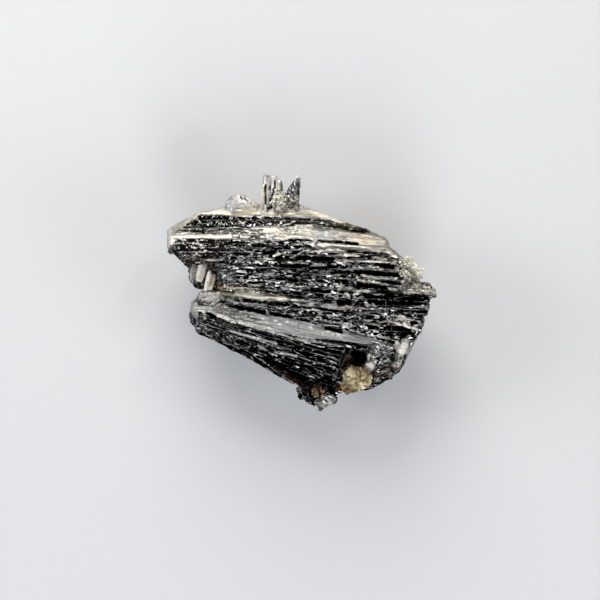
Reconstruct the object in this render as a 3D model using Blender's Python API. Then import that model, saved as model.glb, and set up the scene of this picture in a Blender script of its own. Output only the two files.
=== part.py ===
"""A striated arsenopyrite crystal lying on its flat back, with the pale minerals that grew on it.

Units are metres. +X runs along the striations, +Y towards the crest with the upright blades,
and +Z up out of the broad striated face. The origin is on the flat contact face that the
crystal rests on. The numbers below are millimetres, and MM turns them into metres.
"""

import random
from collections import namedtuple
from math import cos, pi, radians, sin, sqrt

import bmesh
import bpy
from mathutils import Euler, Matrix, Vector, noise

MM = 0.001
GAP = 0.3  # clear space between two minerals
SEED = 13
GOLDEN_ANGLE = pi * (3 - sqrt(5))

# ------------------------------------------------------------------ convex blocks
# Each block is a list of rings, (corners, height). The widest ring is its rim.
REST_FACE = [(-13, 6.5), (-5, 9.5), (6, 8.5), (12.5, 3), (13.5, -5), (9, -10.5), (0, -10), (-11, -6)]
CORE = [
    (REST_FACE, 0.0),
    ([(-18, 8.6), (-9, 12.4), (0, 12.8), (11, 8.6), (16.6, 3), (18, -6), (14, -13), (6, -15.3),
      (-4, -12), (-15, -7), (-17, -2)], 7.0),
    ([(-15, 6), (0, 7), (12, 4), (15, -5), (5, -9), (-13, -4)], 14.6),
]
UPPER_BLOCK = [
    ([(-17, 8), (-8, 12), (0, 12.5), (11, 8.5), (15, 1), (12, -2.5), (-12, -1)], 3.0),
    ([(-24.2, 11.1), (-24.2, 7.9), (-22.9, 12.0), (-20.8, 13.2), (-18.3, 14.4), (-13.6, 15.3),
      (-7.1, 15.8), (-0.9, 15.9), (5.7, 13.4), (13.1, 10.6), (15.2, 9.6), (17.0, 4), (17.5, 0.5), (15, -3),
      (-14, -1.5)], 8.8),
    ([(-23.4, 10.2), (-23.3, 8.3), (-18, 12.2), (-6, 12.2), (3, 12.0), (13.4, 8.8), (16.4, 0.5), (14, -2.5),
      (-13.5, -0.6), (-20, 6.6)], 12.0),
    ([(-19, 8.2), (-4, 9.2), (10, 7.8), (14.6, 4), (15, 0.5), (12, -1), (-10, 0.6),
      (-15.5, 5.4)], 15.2),
]
LOWER_BLOCK = [
    ([(-14, -4), (12, -5), (14, -10), (9, -13), (0, -12.5), (-11, -8)], 2.5),
    ([(-20.2, -4.5), (-19.8, -2.0), (-18.4, -0.3), (20.6, -4.6), (20.9, -7.1), (20.2, -9.2),
      (18.3, -13.1), (17.2, -14.5), (14.6, -16.3), (12, -17.6), (6.9, -18.1), (3.2, -17.3),
      (-0.9, -16.9), (-3.2, -14.9), (-10, -11.3), (-17.8, -7.5), (-19.8, -5.8)], 8.2),
    ([(-19.0, -1.6), (-8, -3.0), (8, -5.0), (17.6, -6.0)], 14.4),
    ([(-19.2, -3.6), (-5, -6.2), (0, -7.4), (8, -8.8), (14, -9.4), (17, -8.4)], 15.6),
]
NOTCH_STEP = [
    ([(-20.3, 5.2), (-20.3, 2.2), (-18.9, 0.6), (-13, 0), (-13, 5.5)], 7.0),
    ([(-19.7, 4.9), (-19.7, 2.5), (-18.4, 1.0), (-13, 0.3), (-13, 5.5)], 13.0),
]
PIT = [
    ([(8.6, -10.5), (11.2, -10.4), (11.4, -12.0), (9.0, -12.6)], 12.6),
    ([(8.0, -9.8), (11.8, -9.7), (12.0, -12.6), (8.4, -13.4)], 20.0),
]

# ------------------------------------------------------------------ bundles of laths
# A bundle fills the band between two guide lines with parallel laths, each broken into
# pieces along its length. A guide is (start, end) in (x, y), and its crest holds the heights
# at its two ends. Seen from above, a lath slopes outwards while it drops by depth: by
# flanks (upper at the start, upper at the end, lower) and by ends (start, end). Its length
# varies by wander (start, end), and its crest by rise.
Bundle = namedtuple(
    "Bundle",
    "name count pieces upper upper_crest lower lower_crest flanks ends depth wander rise",
)
FRONT = [
    Bundle("crest_left", 2, 1, ((-18.2, 13.6), (-0.9, 13.5)), (12.3, 12.4),
           ((-20.6, 11.9), (-0.9, 11.9)), (12.6, 13.0), (0.1, 2.0, 0.3), (0.3, 0.4), 3.4, (0.0, 0.8), 0.15),
    Bundle("crest_middle", 2, 1, ((-1.4, 13.4), (4.3, 12.9)), (12.2, 12.2),
           ((-1.4, 11.9), (4.7, 11.9)), (13.0, 12.7), (2.0, 0.9, 0.3), (0.4, 0.6), 3.4, (0.8, 0.3), 0.15),
    Bundle("crest_right", 1, 1, ((4.0, 12.6), (11.5, 11.1)), (12.2, 11.2),
           ((4.2, 11.8), (11.9, 10.7)), (12.7, 11.8), (0.8, 0.1, 0.3), (0.4, 0.5), 3.4, (0.4, 0.0), 0.0),
    Bundle("shoulder_left", 3, 2, ((-21.7, 11.5), (-1.0, 11.8)), (13.0, 13.4),
           ((-23.3, 9.5), (-1.0, 9.3)), (15.4, 15.8), (0.2, 0.3, 0.2), (0.5, 0.4), 3.0, (0.3, 2.5), 0.2),
    Bundle("shoulder_right", 3, 2, ((-2.0, 11.8), (14.4, 9.8)), (13.4, 12.4),
           ((-2.0, 9.3), (15.1, 7.9)), (15.8, 15.0), (0.3, 0.2, 0.2), (0.5, 0.6), 3.0, (2.0, 0.3), 0.2),
    Bundle("head_upper", 3, 2, ((-23.3, 9.4), (-6.5, 9.2)), (16.0, 16.5),
           ((-23.0, 7.1), (-6.0, 6.9)), (16.4, 17.3), (0.3, 0.3, 0.2), (0.7, 0.5), 4.6, (0.15, 1.6), 0.3),
    Bundle("head_lower", 3, 2, ((-22.0, 7.0), (-6.0, 6.9)), (16.4, 17.2),
           ((-18.9, 5.2), (-5.6, 4.8)), (16.6, 17.9), (0.3, 0.3, 0.3), (0.6, 0.5), 5.0, (0.4, 1.6), 0.3),
    Bundle("upper_face", 5, 2, ((-7.5, 9.2), (15.2, 7.8)), (16.4, 15.8),
           ((-7.0, 5.0), (18.2, 4.7)), (17.9, 17.5), (0.4, 0.4, 0.15), (0.7, 0.7), 3.6, (1.4, 0.4), 0.3),
    Bundle("middle_face", 7, 3, ((-14.6, 5.2), (7.5, 4.8)), (17.2, 18.2),
           ((-13.9, 0.2), (9.5, -1.4)), (17.2, 18.6), (0.35, 0.35, 0.2), (0.7, 0.5), 3.6, (0.5, 1.2), 0.35),
    Bundle("right_bars", 5, 1, ((5.8, 5.2), (18.4, 4.6)), (18.0, 17.2),
           ((8.9, 0.4), (17.2, 0.2)), (18.7, 18.2), (0.5, 0.55, 0.1), (0.7, 1.7), 3.8, (1.0, 0.4), 0.25),
    Bundle("right_step", 1, 1, ((14.0, 6.7), (18.9, 4.8)), (14.2, 13.4),
           ((14.0, 2.2), (20.4, 1.6)), (14.6, 13.8), (0.2, 0.3, 0.3), (0.4, 0.9), 5.6, (0.0, 0.0), 0.0),
    Bundle("right_shelf", 2, 1, ((15.5, 1.9), (22.4, 1.4)), (15.0, 13.4),
           ((15.5, -0.1), (23.7, -0.7)), (17.2, 15.4), (0.4, 0.3, 0.3), (0.4, 0.5), 5.6, (0.2, 0.0), 0.1),
    Bundle("right_end", 2, 2, ((9.2, 0.1), (22.5, -1.1)), (18.6, 16.8),
           ((9.2, -2.4), (22.4, -2.5)), (18.5, 16.8), (0.5, 0.5, 0.2), (0.7, 0.5), 8.6, (0.3, 0.3), 0.2),
    Bundle("right_ledges", 5, 2, ((8.0, -2.4), (22.2, -2.8)), (18.0, 16.6),
           ((10.0, -7.6), (20.4, -8.4)), (17.2, 15.4), (0.4, 0.4, 0.2), (0.7, 0.6), 8.0, (0.45, 0.45), 0.3),
    Bundle("pale_ledge", 1, 1, ((-11.4, -0.2), (6.0, -1.5)), (16.6, 17.6),
           ((-11.0, -0.8), (6.0, -2.3)), (17.4, 18.3), (0.3, 0.3, 0.1), (1.2, 0.8), 3.0, (0.0, 0.0), 0.0),
    Bundle("stripes", 4, 2, ((-14.0, -1.1), (10.4, -3.0)), (16.2, 17.9),
           ((-12.0, -3.0), (10.4, -7.2)), (15.6, 16.8), (0.3, 0.4, 0.15), (0.8, 0.8), 3.0, (0.8, 0.8), 0.3),
    Bundle("notch_ledge", 2, 1, ((-17.6, -0.1), (-11.0, -0.2)), (14.4, 15.4),
           ((-18.1, -2.0), (-11.0, -2.6)), (15.0, 16.0), (0.3, 0.3, 0.2), (0.5, 0.6), 4.0, (0.3, 0.3), 0.15),
    Bundle("band_left", 1, 1, ((-19.0, -1.8), (-1.0, -4.8)), (15.6, 16.3),
           ((-19.3, -3.9), (-1.0, -8.0)), (15.9, 17.1), (0.2, 0.2, 0.3), (0.7, 1.6), 3.4, (0.0, 0.0), 0.0),
    Bundle("band_right", 1, 1, ((-4.6, -4.3), (15.0, -8.3)), (16.0, 16.2),
           ((-4.6, -7.2), (16.2, -10.0)), (16.9, 16.4), (0.3, 0.3, 0.3), (0.5, 0.8), 3.4, (0.0, 0.4), 0.0),
    Bundle("lower_face", 9, 2, ((-18.8, -4.0), (7.6, -9.7)), (16.0, 17.1),
           ((-18.1, -7.0), (5.6, -17.1)), (11.6, 9.9), (0.15, 0.3, 0.4), (0.6, 0.6), 3.4, (0.4, 0.4), 0.35),
    Bundle("corner", 5, 1, ((12.6, -10.0), (18.0, -8.8)), (16.4, 15.4),
           ((12.6, -16.2), (15.6, -15.0)), (11.4, 10.4), (0.3, 0.3, 0.4), (0.5, 0.6), 3.4, (0.3, 0.3), 0.3),
]
BACK = [
    Bundle("back_crest", 5, 2, ((-16.0, 12.8), (7.0, 12.0)), (6.2, 6.2),
           ((-14.0, 9.0), (11.5, 7.0)), (1.5, 1.5), (0.4, 0.4, 0.3), (1.0, 0.9), 3.6, (0.8, 0.8), 0.35),
    Bundle("back_left", 4, 1, ((-20.6, 8.6), (-12.4, 6.2)), (6.2, 1.7),
           ((-17.0, 1.2), (-11.8, 0.6)), (5.8, 1.6), (0.3, 0.3, 0.3), (0.8, 0.4), 3.6, (0.5, 0.5), 0.3),
    Bundle("back_right", 5, 1, ((12.0, 5.0), (17.4, 3.6)), (1.5, 5.6),
           ((12.6, -8.0), (17.8, -9.0)), (1.7, 5.6), (0.3, 0.3, 0.3), (0.4, 0.8), 3.6, (0.6, 0.6), 0.35),
    Bundle("back_foot", 6, 2, ((-15.0, -4.6), (12.0, -8.0)), (3.0, 1.6),
           ((-5.4, -12.4), (10.4, -15.0)), (5.6, 5.4), (0.3, 0.3, 0.3), (0.9, 0.9), 3.6, (0.8, 0.8), 0.35),
]

# ------------------------------------------------------------------ crystals on the crest
# Each blade is (foot, tip, (width, thickness) at the foot, the same at the tip, slant).
# A positive slant raises the +X side of the tip.
BLADES = {
    "tall_blade_left": ((-6.4, 14.0, 10.0), (-6.25, 20.9, 10.2), (1.7, 2.6), (1.3, 1.6), -0.1),
    "tall_blade_right": ((-4.9, 14.0, 10.2), (-5.0, 20.7, 9.9), (2.1, 2.8), (1.5, 1.4), 0.2),
    "tall_blade_shoulder": ((-3.9, 14.0, 10.2), (-4.0, 19.9, 10.0), (1.6, 2.4), (0.9, 1.0), -0.2),
    "tall_blade_needle": ((-7.2, 14.2, 10.6), (-6.9, 18.9, 10.8), (0.8, 1.0), (0.5, 0.5), -0.2),
    "spike_edge": ((-1.2, 14.4, 9.9), (-0.45, 20.2, 10.4), (0.9, 1.8), (0.4, 0.7), 0.3),
}
SPIKE = [
    ([(-3.3, 14.0), (-1.2, 14.0), (-0.8, 18.0), (-0.6, 20.6), (-2.8, 17.4)], 9.1),
    ([(-3.7, 14.0), (-0.9, 14.0), (-0.6, 18.2), (-0.2, 20.4), (-0.5, 21.2), (-0.9, 20.8), (-3.1, 17.6)],
     10.1),
    ([(-3.0, 14.0), (-1.5, 14.0), (-1.3, 17.0), (-0.75, 20.0), (-2.5, 16.8)], 11.0),
]
WEDGE = [
    ([(-13.7, 14.2), (-7.4, 14.4), (-7.8, 15.7), (-9.4, 16.6), (-10.8, 17.2), (-12.6, 17.0),
      (-13.7, 15.9)], 8.2),
    ([(-13.6, 14.2), (-7.4, 14.4), (-8.0, 15.8), (-9.3, 16.9), (-10.8, 17.5), (-12.7, 17.3),
      (-13.7, 16.1)], 9.6),
    ([(-12.6, 14.0), (-8.6, 14.0), (-9.8, 15.9), (-12.0, 16.3)], 11.0),
]
# Rhombs are (centre, sizes, turn in degrees).
RHOMBS = [
    ((4.5, -19.0, 8.2), (2.7, 2.3, 2.4), (22, 14, 28)),
    ((3.4, -19.5, 7.6), (2.2, 1.9, 2.0), (-18, 24, 50)),
    ((5.3, -19.2, 7.2), (1.6, 1.9, 1.8), (12, -20, 12)),
    ((1.9, -19.3, 7.8), (1.8, 1.6, 1.8), (30, 10, -24)),
    ((0.4, -17.6, 8.4), (2.2, 2.1, 2.4), (10, 26, 38)),
    ((2.6, -18.0, 8.8), (2.6, 2.2, 2.2), (-14, -12, 20)),
    ((5.0, -17.6, 8.8), (2.6, 2.4, 2.2), (16, 18, -30)),
    ((11.9, -13.5, 12.4), (1.3, 2.3, 2.0), (24, -18, -16)),
    ((17.6, -10.2, 14.4), (2.6, 2.8, 2.4), (-14, 22, 24)),
    ((16.6, -12.8, 12.8), (2.0, 2.2, 2.2), (-20, 16, 40)),
]
QUARTZ = {
    "quartz_blade_upper": ((-18.5, 2.2, 14.1), (-17.3, 5.3, 14.5), (1.3, 1.4), (1.1, 1.1), 0.3),
    "quartz_blade_lower": ((-16.8, 0.7, 14.4), (-15.9, 3.7, 14.9), (1.6, 1.5), (0.9, 1.0), 0.4),
}
# Grainy lumps are lists of (centre, radii, number of grains, grain size).
SIDERITE = [
    ((8.9, -14.7, 12.6), (1.7, 1.7, 1.8), 13, (1.15, 1.1, 0.95)),
    ((10.8, -15.5, 12.4), (1.6, 1.9, 1.8), 13, (1.15, 1.1, 0.95)),
    ((8.7, -16.6, 11.8), (1.8, 1.5, 1.6), 13, (1.15, 1.1, 0.95)),
]
MICA_CRUST = [
    ((18.7, 5.3, 14.3), (1.0, 1.0, 0.65), 9, (0.9, 0.8, 0.45)),
    ((19.7, 4.2, 14.3), (1.0, 1.0, 0.7), 9, (0.9, 0.8, 0.45)),
    ((20.6, 2.9, 14.3), (1.0, 1.3, 0.75), 9, (0.9, 0.8, 0.45)),
]
MICA_TUFT = [((-4.2, 15.9, 12.4), (1.0, 1.6, 0.55), 12, (0.9, 0.8, 0.45))]


def material(name, color, metallic, roughness):
    """A plain finish: colour, metallic value and roughness."""
    made = bpy.data.materials.new(name)
    made.use_nodes = True
    shader = made.node_tree.nodes["Principled BSDF"]
    shader.inputs["Base Color"].default_value = (*color, 1.0)
    shader.inputs["Metallic"].default_value = metallic
    shader.inputs["Roughness"].default_value = roughness
    return made


def new_object(name, bm, collection):
    """Turns a bmesh, in millimetres, into an object in metres with its faces out."""
    bm.normal_update()
    bmesh.ops.recalc_face_normals(bm, faces=bm.faces)
    bmesh.ops.transform(bm, matrix=Matrix.Scale(MM, 4), verts=bm.verts)
    mesh = bpy.data.meshes.new(name)
    bm.to_mesh(mesh)
    bm.free()
    made = bpy.data.objects.new(name, mesh)
    collection.objects.link(made)
    return made


def wrap(bm):
    """Replaces the mesh by the convex solid around its points."""
    wrapped = bmesh.ops.convex_hull(bm, input=bm.verts)
    kept = {g for g in wrapped["geom"] if isinstance(g, bmesh.types.BMVert)}
    bmesh.ops.delete(bm, geom=[v for v in bm.verts if v not in kept], context="VERTS")
    hull = {g for g in wrapped["geom"] if isinstance(g, bmesh.types.BMFace)}
    bmesh.ops.delete(bm, geom=[f for f in bm.faces if f not in hull], context="FACES")


def block(name, rings, collection):
    """The convex crystal block that wraps its rings of corners."""
    bm = bmesh.new()
    for corners, height in rings:
        for x, y in corners:
            bm.verts.new((x, y, height))
    wrap(bm)
    return new_object(name, bm, collection)


def lath(name, edges, crests, flanks, ends, depth, collection):
    """A tapered box between an upper and a lower edge, each ((x, y), (x, y)).

    Its narrow crest face runs between the edges at the crest heights. A negative depth turns
    the lath over, for the back.
    """
    bm = bmesh.new()
    bmesh.ops.create_cube(bm, size=2)
    for v in bm.verts:
        at_end, at_lower, at_foot = v.co.x > 0, v.co.y < 0, v.co.z < 0
        corner = Vector(edges[at_lower][at_end])
        height = crests[at_lower][at_end]
        if at_foot:
            corner.x += ends[1] if at_end else -ends[0]
            corner.y += -flanks[2] if at_lower else flanks[at_end]
            height -= depth
        v.co = (corner.x, corner.y, height)
    return new_object(name, bm, collection)


def laths(bundle, side, rng, collection):
    """The laths of a bundle, side by side, each piece with its own length and height."""

    def place(across, along):
        upper = Vector((*bundle.upper[0], bundle.upper_crest[0])).lerp(
            Vector((*bundle.upper[1], bundle.upper_crest[1])), along)
        lower = Vector((*bundle.lower[0], bundle.lower_crest[0])).lerp(
            Vector((*bundle.lower[1], bundle.lower_crest[1])), along)
        return upper.lerp(lower, across)

    made = []
    for row in range(bundle.count):
        breaks = [(k + rng.uniform(-0.3, 0.3)) / bundle.pieces for k in range(1, bundle.pieces)]
        for piece, (start, end) in enumerate(zip([0, *breaks], [*breaks, 1])):
            lift = rng.uniform(-1, 1) * bundle.rise
            tilt = rng.uniform(-0.4, 0.4) * bundle.rise
            roll = rng.uniform(-0.6, 0.6) * bundle.rise
            shift = [rng.uniform(-1, 1) * reach for reach in bundle.wander]
            past = 0.03 if bundle.pieces > 1 else 0.0
            span = (start - past * (start > 0), end + past * (end < 1))
            edges, crests = [], []
            for side_of_row, up in ((0, lift + roll), (1, lift - roll)):
                across = (row + side_of_row) / bundle.count
                points = [place(across, along) for along in span]
                edges.append([(p.x + dx, p.y) for p, dx in zip(points, shift)])
                crests.append([points[0].z + up - tilt, points[1].z + up + tilt])
            made.append(
                lath(f"{bundle.name}_{row + 1}_{piece + 1}", edges, crests, bundle.flanks,
                     bundle.ends, side * bundle.depth, collection)
            )
    return made


def blade(name, foot, tip, foot_size, tip_size, slant, collection):
    """A flat prism from foot to tip; its width lies across it in the plane of the face."""
    foot, tip = Vector(foot), Vector(tip)
    along = (tip - foot).normalized()
    across = along.cross(Vector((0, 0, 1))).normalized()
    through = across.cross(along)
    bm = bmesh.new()
    bmesh.ops.create_cone(bm, cap_ends=True, segments=6, radius1=0.58, radius2=0.58, depth=2)
    for v in bm.verts:
        at_tip = v.co.z > 0
        centre, (width, thickness) = (tip, tip_size) if at_tip else (foot, foot_size)
        x, y = v.co.x, v.co.y
        v.co = centre + across * (x * width) + through * (y * thickness)
        if at_tip:
            v.co += along * (x * slant)
    return new_object(name, bm, collection)


def rhomb(name, centre, sizes, turn, collection):
    """A sheared box, the usual small crystal."""
    bm = bmesh.new()
    bmesh.ops.create_cube(bm, size=1)
    shear = Matrix(((1, 0.25, 0, 0), (0, 1, 0.15, 0), (0, 0, 1, 0), (0, 0, 0, 1)))
    turned = Euler([radians(angle) for angle in turn]).to_matrix().to_4x4()
    placed = Matrix.Translation(centre) @ turned @ shear @ Matrix.Diagonal((*sizes, 1))
    bmesh.ops.transform(bm, matrix=placed, verts=bm.verts)
    return new_object(name, bm, collection)


def grains(name, centre, radii, count, size, rng, collection):
    """A ball with small rhombs standing out of it, spread evenly around it."""
    bm = bmesh.new()
    bmesh.ops.create_icosphere(bm, subdivisions=2, radius=1)
    centre, radii = Vector(centre), Vector(radii)
    for v in bm.verts:
        swell = 0.80 + 0.10 * noise.noise(v.co * 2.3)
        v.co = centre + v.co * radii * swell
    made = [new_object(f"{name}_core", bm, collection)]
    for i in range(count):
        rise = 1 - (2 * i + 1) / count
        ring, around = sqrt(1 - rise * rise), i * GOLDEN_ANGLE
        out = Vector((ring * cos(around), ring * sin(around), rise)) * radii
        turn = [rng.uniform(0, 90) for _ in range(3)]
        sizes = [side * rng.uniform(0.75, 1.1) for side in size]
        made.append(rhomb(f"{name}_{i}", centre + out * 0.76, sizes, turn, collection))
    return made


def clearance(mineral, collection):
    """The pocket around a mineral: its convex outline, wider by the gap."""
    bm = bmesh.new()
    bm.from_mesh(mineral.data)
    bmesh.ops.transform(bm, matrix=Matrix.Scale(1 / MM, 4), verts=bm.verts)
    wrap(bm)
    bmesh.ops.recalc_face_normals(bm, faces=bm.faces)
    bm.normal_update()
    for v, normal in [(v, v.normal.copy()) for v in bm.verts]:
        v.co += normal * GAP * 1.5
    return new_object(f"{mineral.name}_pocket", bm, collection)


def clear_scene():
    for obj in list(bpy.data.objects):
        bpy.data.objects.remove(obj, do_unlink=True)


def new_collection(name, helper=False):
    made = bpy.data.collections.new(name)
    made.hide_render = helper
    bpy.context.scene.collection.children.link(made)
    return made


def combine(name, operation, first, others, collection):
    """One solid: first joined with, or cut by, the others, which are then removed."""
    tools = new_collection(f"{name}_tools", helper=True)
    for other in others:
        for owner in other.users_collection:
            owner.objects.unlink(other)
        tools.objects.link(other)
    modifier = first.modifiers.new(operation.title(), "BOOLEAN")
    modifier.operation = operation
    modifier.operand_type = "COLLECTION"
    modifier.collection = tools
    bpy.context.view_layer.update()
    graph = bpy.context.evaluated_depsgraph_get()
    mesh = bpy.data.meshes.new_from_object(first.evaluated_get(graph))
    mesh.name = name
    for used in [first, *others]:
        bpy.data.objects.remove(used, do_unlink=True)
    bpy.data.collections.remove(tools)
    made = bpy.data.objects.new(name, mesh)
    collection.objects.link(made)
    return made


def fill_voids(piece):
    """Keeps a solid's outer skin and drops the skins of any voids sealed inside it."""
    bm = bmesh.new()
    bm.from_mesh(piece.data)
    unseen, skins = set(bm.verts), []
    while unseen:
        skin, edge_of_skin = set(), [unseen.pop()]
        while edge_of_skin:
            vert = edge_of_skin.pop()
            skin.add(vert)
            near = {edge.other_vert(vert) for edge in vert.link_edges} & unseen
            unseen -= near
            edge_of_skin += near
        skins.append(skin)
    outer = max(skins, key=len)
    bmesh.ops.delete(bm, geom=[v for v in bm.verts if v not in outer], context="VERTS")
    bm.to_mesh(piece.data)
    bm.free()


def grainy_lump(name, balls, rng, collection):
    """One or more grainy balls grown into one."""
    pieces = [
        piece
        for i, ball in enumerate(balls)
        for piece in grains(f"{name}_{i}", *ball, rng, collection)
    ]
    grown = combine(name, "UNION", pieces[0], pieces[1:], collection)
    fill_voids(grown)
    return grown


def finish(piece, finish_material):
    piece.data.materials.clear()
    piece.data.materials.append(finish_material)


def main():
    clear_scene()
    specimen = new_collection("arsenopyrite_specimen")
    rng = random.Random(SEED)

    pieces = [
        block("core", CORE, specimen),
        block("upper_block", UPPER_BLOCK, specimen),
        block("lower_block", LOWER_BLOCK, specimen),
        block("notch_step", NOTCH_STEP, specimen),
        block("wedge", WEDGE, specimen),
        block("spike", SPIKE, specimen),
    ]
    for bundle in FRONT:
        pieces += laths(bundle, 1, rng, specimen)
    for bundle in BACK:
        pieces += laths(bundle, -1, rng, specimen)
    pieces += [blade(name, *shape, specimen) for name, shape in BLADES.items()]
    pieces += [rhomb(f"rhomb_{i + 1}", *shape, specimen) for i, shape in enumerate(RHOMBS)]
    grown = combine("grown_crystal", "UNION", pieces[0], pieces[1:], specimen)

    quartz = [blade(name, *shape, specimen) for name, shape in QUARTZ.items()]
    siderite = grainy_lump("siderite_lump", SIDERITE, rng, specimen)
    mica = [
        grainy_lump("mica_crust", MICA_CRUST, rng, specimen),
        grainy_lump("mica_tuft", MICA_TUFT, rng, specimen),
    ]
    cutters = [clearance(mineral, specimen) for mineral in [*quartz, siderite, *mica]]
    cutters.append(block("pit", PIT, specimen))
    crystal = combine("arsenopyrite_crystal", "DIFFERENCE", grown, cutters, specimen)
    fill_voids(crystal)

    finish(crystal, material("arsenopyrite", (0.30, 0.30, 0.30), 1.0, 0.35))
    finish(siderite, material("siderite", (0.62, 0.52, 0.30), 0.0, 0.8))
    for piece in quartz:
        finish(piece, material("quartz", (0.80, 0.76, 0.66), 0.0, 0.3))
    for piece in mica:
        finish(piece, material("mica", (0.62, 0.62, 0.42), 0.0, 0.5))


main()
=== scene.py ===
# %% [markdown]
# # A striated arsenopyrite crystal
#
# The specimen lies on its flat back with the broad striated face up. It is a metallic sulphide
# crystal, so what we see is mostly reflection: bright where a ledge turns to the light, nearly
# black where it faces the dark above. On it sit a granular siderite lump, two pairs of quartz
# blades and some pale mica. The numbers below are millimetres, and MM turns them into metres.

# %% The frame
from math import radians

import bmesh
import bpy
import numpy as np
from mathutils import Matrix, Quaternion, Vector, noise
from mathutils.bvhtree import BVHTree
from mathutils.kdtree import KDTree


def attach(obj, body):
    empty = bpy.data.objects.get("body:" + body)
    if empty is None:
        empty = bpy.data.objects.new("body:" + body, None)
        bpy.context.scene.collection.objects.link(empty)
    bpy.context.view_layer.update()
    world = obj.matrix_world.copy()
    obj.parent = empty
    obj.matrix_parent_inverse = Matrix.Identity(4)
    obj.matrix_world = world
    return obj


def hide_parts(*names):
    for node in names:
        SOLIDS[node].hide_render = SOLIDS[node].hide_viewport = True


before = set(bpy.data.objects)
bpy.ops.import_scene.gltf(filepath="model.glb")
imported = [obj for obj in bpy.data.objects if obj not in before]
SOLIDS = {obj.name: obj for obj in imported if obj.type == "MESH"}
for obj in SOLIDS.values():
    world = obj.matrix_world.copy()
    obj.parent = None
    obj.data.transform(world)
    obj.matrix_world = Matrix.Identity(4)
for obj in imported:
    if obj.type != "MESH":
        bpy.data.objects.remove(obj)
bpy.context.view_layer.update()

MM = 0.001
print("solids:", sorted(SOLIDS))

# %% [markdown]
# ## Floor, light and camera
#
# A metal shows what surrounds it. The largest softbox stands beyond the crest, so every ledge
# that turns to +Y lights up. Weaker ones stand around it, and the sky is dark straight above and
# pale near the horizon. A world texture could do it all, but lamps give soft shadows as well.

# %% Softboxes
AIM = Vector((0, 0, 10))
# A lamp is (name, place, size, watts, color).
LAMPS = (
    ("crest_softbox", (-60, 380, 195), 300, 1.8, (1, 0.96, 0.9)),
    ("left_softbox", (-400, 60, 200), 200, 0.8, (0.94, 0.97, 1)),
    ("front_softbox", (30, -370, 210), 200, 0.8, (0.95, 0.97, 1)),
    ("right_softbox", (400, -160, 190), 200, 0.6, (1, 0.99, 0.97)),
    ("corner_softbox", (260, 310, 380), 110, 0.3, (1, 0.98, 0.95)),
)
for name, place, size, watts, color in LAMPS:
    bpy.ops.object.light_add(type="AREA", location=Vector(place) * MM)
    lamp = bpy.context.object
    lamp.name = name
    lamp.data.shape = "SQUARE"
    lamp.data.size = size * MM
    lamp.data.energy = watts
    lamp.data.color = color
    lamp.rotation_mode = "QUATERNION"
    lamp.rotation_quaternion = (AIM - Vector(place)).to_track_quat("-Z", "Y")
print("lamps:", [lamp[0] for lamp in LAMPS])

# %% The sky
# Each stop is (height of the direction, color), from the horizon at 0 up.
SKY = ((0, (0.62, 0.64, 0.68, 1)), (0.35, (0.34, 0.35, 0.37, 1)), (0.8, (0.05, 0.05, 0.055, 1)))


def plug(node, inputs):
    """Sets a node's inputs to values or to other nodes' outputs."""
    for socket, value in inputs.items():
        if isinstance(value, bpy.types.NodeSocket):
            node.id_data.links.new(value, node.inputs[socket])
        else:
            node.inputs[socket].default_value = value


def add(tree, kind, inputs=(), **settings):
    """Adds a node to a tree."""
    node = tree.nodes.new(f"ShaderNode{kind}")
    for name, value in settings.items():
        setattr(node, name, value)
    plug(node, dict(inputs))
    return node


world = bpy.data.worlds.new("studio_sky")
world.use_nodes = True
bpy.context.scene.world = world
sky = world.node_tree
direction = add(sky, "TexCoord").outputs["Generated"]
upward = add(sky, "SeparateXYZ", {"Vector": direction}).outputs["Z"]
ramp = add(sky, "ValToRGB", {"Fac": upward})
ramp.color_ramp.elements.new(SKY[1][0])
for stop, (height, color) in zip(ramp.color_ramp.elements, SKY):
    stop.position = height
    stop.color = color
plug(sky.nodes["Background"], {"Color": ramp.outputs["Color"]})

# %% The floor
def started(primitive, **settings):
    """A new object from a primitive."""
    primitive(**settings)
    return bpy.context.object


def new_finish(name):
    """A new material, its node tree and its shader."""
    made = bpy.data.materials.new(name)
    made.use_nodes = True
    return made, made.node_tree, made.node_tree.nodes["Principled BSDF"]


floor = started(bpy.ops.mesh.primitive_plane_add, size=4, location=(0, 0, 0))
floor.name = "floor"
paper, _, shader = new_finish("floor_paper")
plug(shader, {"Base Color": (0.74, 0.75, 0.77, 1), "Roughness": 0.9})
floor.data.materials.append(paper)

# %% [markdown]
# The camera looks straight down on the striated face through a long lens, so the outline isn't
# stretched. FRAME_WIDTH is what it sees at the height of the face.

# %% The camera
FRAME_WIDTH = 106.2
FACE_HEIGHT = 14
LENS = 135
SENSOR = 36
CENTRE = (-0.35, -1.42)

height = FACE_HEIGHT + FRAME_WIDTH * LENS / SENSOR
bpy.ops.object.camera_add(location=Vector((*CENTRE, height)) * MM, rotation=(0, 0, 0))
camera = bpy.context.object
camera.name = "camera"
camera.data.lens = LENS
camera.data.sensor_width = SENSOR
camera.data.clip_start = 0.01
bpy.context.scene.camera = camera
bpy.context.scene.view_settings.view_transform = "Standard"
print("camera height in mm:", round(height))

# %% [markdown]
# ## The direction of the striations
#
# The striations aren't parallel: they run along +X at the crest and fan out clockwise towards
# the lower edge. Each one is a line y = v + slope(v) * x. Solving that for v gives every point
# two coordinates, u along its striation and v across it. Noise that is stretched along u then
# follows the fan on every side of the crystal.

# %% Fan coordinates
FAN_V = (-18, -12, -8, -5, -1.5, 4, 11)
FAN_SLOPE = (-0.5, -0.4, -0.22, -0.15, -0.09, -0.06, 0)
FAN_ROUNDS = 24


def fan(points):
    """(u, v, z) for each point, and the slope of its striation."""
    x, y, z = points.T
    v = y.copy()
    for _ in range(FAN_ROUNDS):
        v = 0.5 * v + 0.5 * (y - np.interp(v, FAN_V, FAN_SLOPE) * x)
    return np.stack([x, v, z], axis=1), np.interp(v, FAN_V, FAN_SLOPE)


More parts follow.
